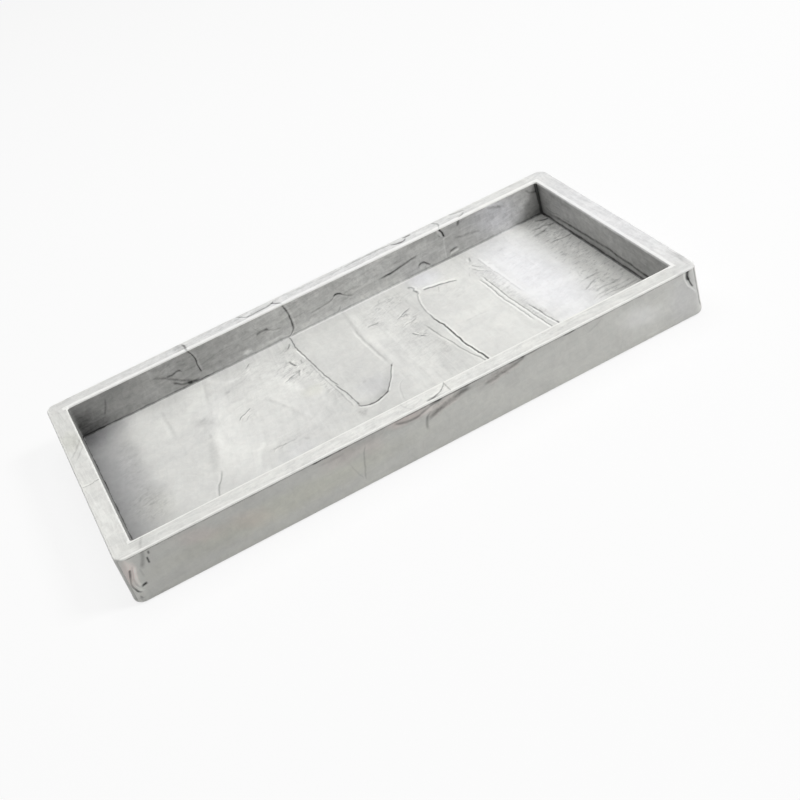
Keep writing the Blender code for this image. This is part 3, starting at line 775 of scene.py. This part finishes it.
def floor_grid(edge):
    """The floor's points, (x, y) by column and row, spread evenly between the four sides of its edge."""
    columns, rows = LONG_STEPS + CORNER_STEPS, SHORT_STEPS + CORNER_STEPS
    loop = np.vstack((edge, edge[:1]))
    right, back, left, front = np.split(loop, np.cumsum((rows, columns, rows)))
    right = np.vstack((right, back[:1]))
    back, left = np.vstack((back, left[:1]))[::-1], np.vstack((left, front[:1]))[::-1]
    u = np.linspace(0, 1, columns + 1)[:, None, None]
    v = np.linspace(0, 1, rows + 1)[None, :, None]
    across = (1 - u) * left[None] + u * right[None]
    along = (1 - v) * front[:, None] + v * back[:, None]
    corners = ((1 - u) * (1 - v) * front[0] + u * (1 - v) * front[-1]
               + (1 - u) * v * back[0] + u * v * back[-1])
    return across + along - corners


def quads(*corners):
    return np.stack(corners, axis=-1).reshape(-1, 4)


def tray_mesh():
    """The tray's mesh, with each face's place in FACES as its material's."""
    points, faces, kinds = [], [], []
    levels = section()
    side_ends = np.cumsum([steps + CORNER_STEPS for steps in SIDE_STEPS])
    count = int(side_ends[-1])
    here = np.arange(count)
    side_of = np.searchsorted(side_ends, here, side="right")
    after = (here + 1) % count
    for level, (inset, height, part) in enumerate(levels):
        edge = ring(inset)
        points.append(np.column_stack((edge, np.full(count, height))))
        if level + 1 < len(levels):
            base = level * count
            faces.append(quads(base + here, base + after, base + count + after, base + count + here))
            names = [part if part == "rim" else part + "_" + SIDES[side] for side in side_of]
            kinds += [FACES.index(name) for name in names]
    last = (len(levels) - 1) * count
    grid = floor_grid(edge)
    columns, rows = grid.shape[:2]
    number = np.zeros((columns, rows), int)
    right, back, left, front = np.split(last + here, side_ends[:-1])
    number[:-1, 0], number[-1, :-1] = front, right
    number[1:, -1], number[0, 1:] = back[::-1], left[::-1]
    middle = grid[1:-1, 1:-1].reshape(-1, 2)
    number[1:-1, 1:-1] = (last + count + np.arange(len(middle))).reshape(columns - 2, rows - 2)
    points.append(np.column_stack((middle, np.full(len(middle), FLOOR))))
    faces.append(quads(number[:-1, :-1], number[1:, :-1], number[1:, 1:], number[:-1, 1:]))
    kinds += [FACES.index("floor")] * (columns - 1) * (rows - 1)
    points, faces = np.vstack(points), np.vstack(faces)
    mesh = bpy.data.meshes.new("marbled_tray")
    mesh.from_pydata((points * MM).tolist(), [], faces.tolist())
    mesh.polygons.foreach_set("material_index", kinds)
    relieve(mesh, points, faces, np.array(kinds))
    close_underside(mesh)
    return mesh


def groove(line, u, v):
    """How deep a line's groove is at the places u, v of its face."""
    along, across = (u, v) if line.runs == "u" else (v, u)
    places, aside = zip(*sorted(line.course.items()))
    away = across - np.interp(along, places, aside)
    past_end = np.maximum(places[0] - along, along - places[-1])
    return line.crease * np.exp(-(away / GROOVE_WIDTH) ** 2) * np.clip(0.5 - past_end / line.fade, 0, 1)


def relieve(mesh, points, faces, kinds):
    """Sinks the surface a little along waves and grooves. It only goes inwards, and the underside and
    the lowest part of the sides stay as they are."""
    normals = np.empty(3 * len(points))
    mesh.vertex_normals.foreach_get("vector", normals)
    depth = np.full(len(points), 1.0)
    for direction, length in WAVES:
        depth += np.sin(2 * math.pi * (points @ np.array(direction)) / length) / len(WAVES)
    depth *= WAVE_DEPTH / 2
    for face, lines in LINES.items():
        here = np.unique(faces[kinds == FACES.index(face)])
        u, v = (points[here, "xyz".index(axis)] for axis in face_axes(face))
        for line in lines:
            if line.crease:
                depth[here] = np.maximum(depth[here], groove(line, u, v))
    depth *= np.clip((points[:, 2] - BOTTOM - BASE_EDGE_RADIUS) / (2 * BASE_EDGE_RADIUS), 0, 1)
    moved = points - normals.reshape(-1, 3) * depth[:, None]
    mesh.vertices.foreach_set("co", (moved * MM).ravel())


def close_underside(mesh):
    """Fills the flat underside, round a seat for each pad."""
    bm = bmesh.new()
    bm.from_mesh(mesh)
    edges = [edge for edge in bm.edges if edge.is_boundary]
    for name in PADS:
        low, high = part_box(name)
        radius = (high.x - low.x) / 2 + SEAT_CLEARANCE * MM
        place = Matrix.Translation(((low.x + high.x) / 2, (low.y + high.y) / 2, BOTTOM * MM))
        bmesh.ops.create_circle(bm, segments=SEAT_STEPS, radius=radius, matrix=place)
        mouth = [edge for edge in bm.edges if edge.is_wire]
        edges += mouth
        wall = bmesh.ops.extrude_edge_only(bm, edges=mouth)["geom"]
        for vert in (item for item in wall if isinstance(item, bmesh.types.BMVert)):
            vert.co.z = high.z + SEAT_HEADROOM * MM
        top_edges = [item for item in wall if isinstance(item, bmesh.types.BMEdge) and item.is_boundary]
        bmesh.ops.edgeloop_fill(bm, edges=top_edges)
    bmesh.ops.triangle_fill(bm, edges=edges, use_beauty=True)
    for face in bm.faces:
        near_base = face.calc_center_median().z < (BOTTOM + BASE_EDGE_RADIUS) * MM
        if near_base and abs(face.normal.z) > FLAT:
            face.material_index = FACES.index("underside")
    bmesh.ops.recalc_face_normals(bm, faces=bm.faces)
    bm.to_mesh(mesh)
    bm.free()


# Materials

class Signal:
    """A value that changes over a surface: a node's output, with ordinary arithmetic."""

    def __init__(self, graph, socket):
        self.graph = graph
        self.socket = socket

    def __add__(self, other):
        return self.graph.math("ADD", self, other)

    def __sub__(self, other):
        return self.graph.math("SUBTRACT", self, other)

    def __mul__(self, other):
        return self.graph.math("MULTIPLY", self, other)

    def __abs__(self):
        return self.graph.math("ABSOLUTE", self)

    def least(self, other):
        return self.graph.math("MINIMUM", self, other)

    def scaled(self, factor, offset):
        return self.graph.math("MULTIPLY_ADD", self, factor, offset)


def summed(so_far, amount, factor):
    """The amount times the factor, on top of what there is so far."""
    return amount * factor if so_far is None else amount.scaled(factor, so_far)


class Graph:
    """The nodes of a material or world. Each node is made after the nodes that feed it, because the
    renderer works through them in the order they were made in and can hold few values at a time."""

    def __init__(self, owner):
        owner.use_nodes = True
        self.nodes = owner.node_tree.nodes
        self.links = owner.node_tree.links

    def put(self, socket, value):
        if isinstance(value, Signal):
            self.links.new(value.socket, socket)
        else:
            socket.default_value = value

    def node(self, kind, inputs, **settings):
        """A new node, with a value or a signal for each of its inputs by name or number."""
        made = self.nodes.new("ShaderNode" + kind)
        for name, value in settings.items():
            setattr(made, name, value)
        for name, value in inputs.items():
            self.put(made.inputs[name], value)
        return made

    def signal(self, kind, inputs, output=0, **settings):
        """The output of a new node."""
        return Signal(self, self.node(kind, inputs, **settings).outputs[output])

    def math(self, operation, *values):
        return self.signal("Math", dict(enumerate(values)), operation=operation)

    def vector(self, x, y, z):
        return self.signal("CombineXYZ", {0: x, 1: y, 2: z})

    def split(self, kind, whole):
        """The three parts of a vector or a colour."""
        return [Signal(self, socket) for socket in self.node("Separate" + kind, {0: whole}).outputs]

    def seen_directly(self):
        """1 where the camera sees the surface, also in a reflection or through glass."""
        path = self.node("LightPath", {})
        seen = Signal(self, path.outputs["Is Camera Ray"])
        for other in ("Is Glossy Ray", "Is Transmission Ray"):
            seen = self.math("MAXIMUM", seen, Signal(self, path.outputs[other]))
        return seen


class Surface(Graph):
    """A material's graph. Its x, y and z are the place on the object in millimetres."""

    def __init__(self, name):
        self.material = bpy.data.materials.new(name)
        super().__init__(self.material)
        self.shader = self.nodes["Principled BSDF"]
        metres = self.signal("TexCoord", {}, "Object")
        place = self.signal("VectorMath", {"Scale": 1 / MM, 0: metres}, "Vector", operation="SCALE")
        self.x, self.y, self.z = self.split("XYZ", place)

    def ramp(self, value, start, end, **settings):
        """0 where the value is at start, 1 where it is at end."""
        limits = {"Value": value, "From Min": start, "From Max": end}
        return self.signal("MapRange", limits, "Result", clamp=False, **settings)

    def smooth(self, value, start, end):
        """0 before start, 1 past end, and a soft slope between."""
        return self.ramp(value, start, end, interpolation_type="SMOOTHSTEP")

    def noise_node(self, x, y, z, pattern):
        place = self.vector(*(value * scale for value, scale in zip((x, y, z), pattern)))
        return self.node("TexNoise", {"Vector": place, "Scale": 1.0, "Detail": pattern.detail,
                                      "Roughness": pattern.roughness, "Distortion": pattern.distortion})

    def spread(self, socket):
        return Signal(self, socket).scaled(NOISE_SPREAD, -NOISE_SPREAD / 2)

    def noise(self, x, y, z, pattern):
        """Soft random patches, mostly from -1 to 1."""
        return self.spread(self.noise_node(x, y, z, pattern).outputs["Fac"])

    def clouds(self, pattern):
        return self.noise(self.x, self.y, self.z, pattern)

    def three_clouds(self, pattern):
        """Three such signals that have nothing to do with each other."""
        node = self.noise_node(self.x, self.y, self.z, pattern)
        parts = self.split("Color", Signal(self, node.outputs["Color"]))
        return [self.spread(part.socket) for part in parts]

    def curve(self, value, heights):
        """The height at value of a smooth curve, from its heights by place."""
        places, heights = zip(*sorted(heights.items()))
        low, span = min(heights), max(max(heights) - min(heights), LEAST_SPAN)
        length = places[-1] - places[0]
        knots = [((place - places[0]) / length, (height - low) / span)
                 for place, height in zip(places, heights)]
        share = self.ramp(value, places[0], places[-1])
        node = self.node("FloatCurve", {"Value": share})
        node.mapping.extend = "HORIZONTAL"
        shape = node.mapping.curves[0].points
        shape[0].location, shape[1].location = knots[0], knots[-1]
        for knot in knots[1:-1]:
            shape.new(*knot)
        node.mapping.update()
        return Signal(self, node.outputs["Value"]).scaled(span, low)

    def finish(self, colour, gloss, height):
        """Gives the shader its colour, gloss and bump."""
        self.put(self.shader.inputs["Base Color"], colour)
        self.put(self.shader.inputs["Roughness"], gloss)
        bump = self.signal("Bump", {"Distance": MM, "Height": height})
        self.put(self.shader.inputs["Normal"], bump)
        return self.material


class Marble:
    """The marbling of one face, built up from clouds, lines and patches."""

    def __init__(self, face):
        self.surface = g = Surface("marble_" + face)
        self.kind = KINDS[face.split("_")[0]]
        self.u, self.v = (getattr(g, axis) for axis in face_axes(face))
        sway_u, sway_v, strength = g.three_clouds(SWAY)
        self.place = {"u": sway_u.scaled(LINE_SWAY, self.u), "v": sway_v.scaled(LINE_SWAY, self.v)}
        self.strength = strength.scaled(LINE_STRENGTH_SPREAD, LINE_STRENGTH)
        self.drawn = None
        self.spot = g.vector(sway_u.scaled(PATCH_SWAY, self.u), sway_v.scaled(PATCH_SWAY, self.v), 1.0)
        broad = g.clouds(BROAD_CLOUDS)
        self.tone = broad.scaled(self.kind.broad, g.clouds(FINE_CLOUDS).scaled(self.kind.fine, 1.0))
        self.height = g.clouds(BUMPS) * BUMP_HEIGHT
        self.extra = {"yellow": broad * YELLOW_CLOUDS, "pink": sway_v * PINK_CLOUDS, "ruffle": None}

    def add(self, amount, tone, height=0.0):
        self.tone = amount.scaled(tone, self.tone)
        if height:
            self.height = amount.scaled(height, self.height)

    def draw(self, amount, tone):
        """Adds to the lines, which come and go a little along their way."""
        self.drawn = summed(self.drawn, amount, tone)

    def line(self, line):
        g = self.surface
        along, across = (self.place[axis] for axis in (line.runs, "v" if line.runs == "u" else "u"))
        start, end = min(line.course), max(line.course)
        aside = across - g.curve(along, line.course)
        ends = g.smooth(along, start - line.fade / 2, start + line.fade / 2)
        ends = ends * g.smooth(along, end + line.fade / 2, end - line.fade / 2)
        core = g.smooth(abs(aside), line.width, 0.0) * ends
        self.draw(core, -line.dark)
        if line.crease:
            self.height = core.scaled(-line.crease / 2, self.height)
        # The light border: partly a paler edge, partly a painted highlight on the fold's lit side
        if line.light:
            beside = abs(aside - math.copysign(BORDER_PLACE * line.width, line.light))
            self.draw(g.smooth(beside, BORDER_WIDTH * line.width, 0.0) * ends, abs(line.light))
        if line.shade:
            inward = aside * math.copysign(1.0, line.reach)
            soft = g.smooth(inward, abs(line.reach), 0.0) * g.smooth(inward, -line.width, line.width)
            self.draw(soft * ends, line.shade)

    def patch(self, patch):
        g = self.surface
        turn = math.radians(patch.turn)
        away = None
        for size, across_u, across_v in ((patch.half_u, math.cos(turn), math.sin(turn)),
                                         (patch.half_v, -math.sin(turn), math.cos(turn))):
            share_u, share_v = across_u / size, across_v / size
            shares = (share_u, share_v, -patch.u * share_u - patch.v * share_v)
            local = g.signal("VectorMath", {0: self.spot, 1: shares}, "Value", operation="DOT_PRODUCT")
            away = summed(away, local, local)
        inside = g.smooth(g.math("SQRT", away), *PATCH_EDGE)
        if patch.tone:
            self.add(inside, patch.tone)
        for name, so_far in self.extra.items():
            if getattr(patch, name):
                self.extra[name] = summed(so_far, inside, getattr(patch, name))

    def ruffles(self):
        """Fine wrinkles where a patch asks for them: dark and pale folds, and a grain."""
        g, ruffle = self.surface, self.extra["ruffle"]
        if ruffle is None:
            return
        folds = g.noise(g.x, g.y - g.x * FOLD_SLANT, g.z, FOLDS)
        self.add(g.smooth(folds, start=0.1, end=0.7) * ruffle, tone=-0.2, height=-0.02)
        self.add(g.smooth(folds, start=-0.1, end=-0.7) * ruffle, tone=0.13)
        self.add(g.clouds(GRAIN) * ruffle, tone=0.07)

    def finish(self):
        """Gives the surface its colour, gloss and bump."""
        g, base = self.surface, self.kind.base
        self.ruffles()
        if self.drawn is not None:
            self.tone = self.tone + self.drawn * self.strength
        tone = g.math("MAXIMUM", self.tone.least(LIGHTEST / base), DARKEST) * base
        pinker = tone * (self.extra["pink"] + 1.0)
        bluer = tone * self.extra["yellow"].scaled(-1.0, 1.0 - self.kind.yellow)
        colour = g.vector(pinker, tone, bluer)
        gloss = g.clouds(GLOSS).scaled(TRAY_GLOSS_SPREAD, TRAY_GLOSS)
        g.shader.inputs["IOR"].default_value = SILICONE_IOR
        return g.finish(colour, gloss, self.height)


def floor_streaks(marble):
    """Brush-like streaks: they lean along Y on most of the floor, run round the swirl in its left half,
    and run along X at its right end."""
    g = marble.surface
    lean = g.smooth(g.x, *LEAN_SPAN) * STREAK_LEAN
    along_y = g.noise(marble.place["u"] - lean * g.y, g.y, 0.0, STREAKS_ALONG_Y)
    along_x = g.noise(g.x, g.y - g.x * RISE, 0.0, STREAKS_ALONG_X)
    away_x, away_y = g.x - SWIRL_X, (g.y - SWIRL_Y) * SWIRL_FLATTER
    away = g.math("SQRT", away_x.scaled(away_x, away_y * away_y))
    rings = g.noise(away, g.x, g.y, SWIRL_RINGS)
    right_end = g.smooth(g.x - g.y * RIGHT_END_SLANT, *RIGHT_END)
    marble.add(along_y * g.curve(g.x, STREAKS), tone=0.065, height=0.01)
    marble.add(g.smooth(along_x, start=0.2, end=0.8) * right_end, tone=-0.25, height=-0.02)
    marble.add(g.smooth(along_x, start=-0.4, end=-0.9) * right_end, tone=0.13)
    marble.add(rings * g.smooth(away, *SWIRL_STOP) * g.smooth(away, *SWIRL_START), tone=0.042, height=0.01)


def wall_streaks(marble):
    """Soft streaks along a wall."""
    g = marble.surface
    streaks = g.noise(g.x, g.y, g.z - g.x * WALL_STREAK_SLANT, WALL_STREAKS)
    marble.add(streaks, marble.kind.streaks, height=0.01)


def rim_streaks_and_edge_light(marble):
    """The rim's streaks, and its rounded edges: painted highlights and painted shade in bands of their own
    width and strength on each side, and a painted shade line before the cavity in front and at the right."""
    g = marble.surface
    inset = abs(g.x).scaled(-1.0, HALF_X).least(abs(g.y).scaled(-1.0, HALF_Y))
    outer = g.smooth(inset, *OUTER_EDGE_LIGHT)
    last = g.smooth(inset, *LAST_SHADE_LINE)
    streaks = g.noise(inset, g.x + g.y, 0.0, RIM_STREAKS)
    marble.add(streaks, marble.kind.streaks, height=0.01)
    reach_x, reach_y = HALF_X - RIM_WIDTH, HALF_Y - RIM_WIDTH
    places = {"back": (g.y, reach_y), "front": (g.y, -reach_y),
              "left": (g.x, -reach_x), "right": (g.x, reach_x)}
    for name, side in RIM_SIDES.items():
        across, reach = places[name]
        here = g.smooth(across, reach * SIDE_START, reach)
        inner = g.smooth(inset, RIM_WIDTH - side.inner_width, RIM_WIDTH - side.inner_width * INNER_BAND_FULL)
        # Each band is a painted highlight where its tone is above 0 and painted shade where it is below
        for band, tone in ((inner, side.inner), (outer, side.outer), (last, side.last)):
            if tone:
                marble.add(here * band, tone)


def tray_material(face):
    marble = Marble(face)
    if face == "floor":
        floor_streaks(marble)
    if face.startswith(("inside", "outside")):
        wall_streaks(marble)
    # The zones' tone by place, with its painted light and shade
    if face in TONE_AND_PAINTED_LIGHT_ZONES:
        marble.tone = marble.tone * marble.surface.curve(marble.u, TONE_AND_PAINTED_LIGHT_ZONES[face])
    for patch in PATCHES.get(face, ()):
        marble.patch(patch)
    for line in LINES[face]:
        marble.line(line)
    if face == "rim":
        rim_streaks_and_edge_light(marble)
    return marble.finish()


def pad_material():
    """Matt, slightly cloudy silicone."""
    g = Surface("pad_silicone")
    tone = g.clouds(PAD_CLOUDS).scaled(PAD_GREY_SPREAD, PAD_GREY)
    colour = g.vector(tone * PAD_RED, tone, tone)
    gloss = g.clouds(PAD_GRAIN).scaled(PAD_GLOSS_SPREAD, PAD_GLOSS)
    return g.finish(colour, gloss, g.clouds(PAD_BUMPS) * BUMP_HEIGHT)


# The stage

def new_object(name, data):
    made = bpy.data.objects.new(name, data)
    bpy.context.scene.collection.objects.link(made)
    return made


def aim(item, target):
    item.rotation_mode = "QUATERNION"
    item.rotation_quaternion = (target - item.location).to_track_quat("-Z", "Y")


def softbox(lamp):
    data = bpy.data.lights.new(lamp.name, "AREA")
    data.size = lamp.side
    data.energy = lamp.power
    made = new_object(lamp.name, data)
    made.location = lamp.place
    aim(made, LAMP_TARGET)


def camera():
    data = bpy.data.cameras.new("camera")
    data.lens = CAMERA_LENS
    made = new_object("camera", data)
    made.location = CAMERA_PLACE
    aim(made, CAMERA_TARGET)
    made.rotation_quaternion = made.rotation_quaternion @ Quaternion((0, 0, 1), CAMERA_ROLL)
    bpy.context.scene.camera = made


def grey(value):
    return (value, value, value, 1.0)


def white_floor():
    """A white floor that keeps a faint shadow, and gives the tray little light back."""
    mesh = bpy.data.meshes.new("studio_floor")
    bm = bmesh.new()
    bmesh.ops.create_grid(bm, x_segments=1, y_segments=1, size=STUDIO_REACH)
    bm.to_mesh(mesh)
    bm.free()
    material = bpy.data.materials.new("studio_floor")
    g = Graph(material)
    shader = g.nodes["Principled BSDF"]
    shader.inputs["Base Color"].default_value = grey(FLOOR_GREY)
    shader.inputs["Roughness"].default_value = 1.0
    shader.inputs["Specular IOR Level"].default_value = 0.0
    paper = g.signal("BsdfDiffuse", {"Color": grey(PAPER_GREY)})
    glow = g.signal("Emission", {"Strength": 1.0})
    shown = g.signal("MixShader", {0: FLOOR_GLOW, 1: paper, 2: glow})
    mixed = g.signal("MixShader", {0: g.seen_directly(), 1: Signal(g, shader.outputs[0]), 2: shown})
    g.put(g.nodes["Material Output"].inputs["Surface"], mixed)
    mesh.materials.append(material)
    floor = new_object("studio_floor", mesh)


def world():
    """A world that looks white and gives the tray little light."""
    made = bpy.data.worlds.new("studio")
    g = Graph(made)
    background = g.nodes["Background"]
    background.inputs["Color"].default_value = grey(1.0)
    g.put(background.inputs["Strength"], g.seen_directly().scaled(1.0 - WORLD_LIGHT, WORLD_LIGHT))
    bpy.context.scene.world = made


def studio():
    white_floor()
    world()
    for lamp in LAMPS:
        softbox(lamp)
    camera()
    bpy.context.scene.view_settings.view_transform = "Standard"


def main():
    mesh = tray_mesh()
    mesh.shade_smooth()
    mesh.set_sharp_from_angle(angle=SHARP_ANGLE)
    for face in FACES:
        mesh.materials.append(tray_material(face))
    tray = new_object("marbled_tray", mesh)
    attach(tray, "root")
    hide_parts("tray")
    silicone = pad_material()
    for name in PADS:
        pad = frame["nodes"][name]
        for slot in pad.material_slots:
            slot.material = silicone
    studio()


main()
